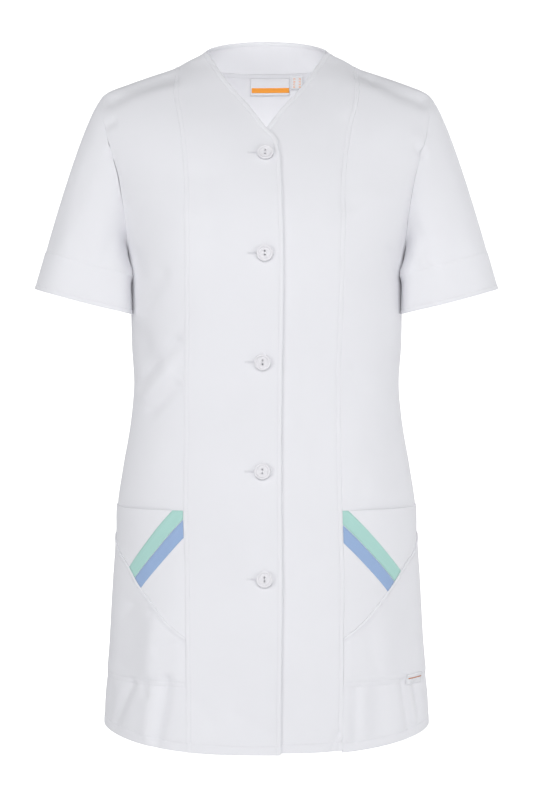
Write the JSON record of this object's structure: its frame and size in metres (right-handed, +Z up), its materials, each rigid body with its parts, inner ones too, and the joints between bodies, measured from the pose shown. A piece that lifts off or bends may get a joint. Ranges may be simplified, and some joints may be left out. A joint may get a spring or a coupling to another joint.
{
  "type": "work smock",
  "caption": "Short-sleeved white work smock with a V neck, standing neckband, button front, long front seams, cuffed sleeves and double patch pockets with coloured tapes.",
  "frame": {"origin": "midway between the two neck points of the shoulders, where the wearer's shoulders hold the smock", "axes": "+Z up, +X towards the wearer's left, the front faces -Y"},
  "size_m": [0.5268, 0.2718, 0.8051],
  "materials": {
    "cloth": "white polyester and cotton twill, matt",
    "tape_green": "mint green tape, matt",
    "tape_blue": "soft blue tape, matt",
    "button": "white, low gloss",
    "label": "plain woven label, satin"
  },
  "bodies": {
    "root": {"back": "cloth", "button_1": "button", "button_2": "button", "button_3": "button", "button_4": "button", "button_5": "button", "cuff_left": "cloth", "cuff_right": "cloth", "front_left": "cloth", "front_right": "cloth", "neck_label": "label", "neckband": "cloth", "pocket_back_left": "cloth", "pocket_back_right": "cloth", "pocket_front_left": "cloth", "pocket_front_right": "cloth", "seam_tag": "label", "side_front_left": "cloth", "side_front_right": "cloth", "size_tag": "label", "sleeve_left": "cloth", "sleeve_right": "cloth", "stripe_blue_left": "tape_blue", "stripe_blue_right": "tape_blue", "stripe_green_left": "tape_green", "stripe_green_right": "tape_green"}
  },
  "joints": []
}
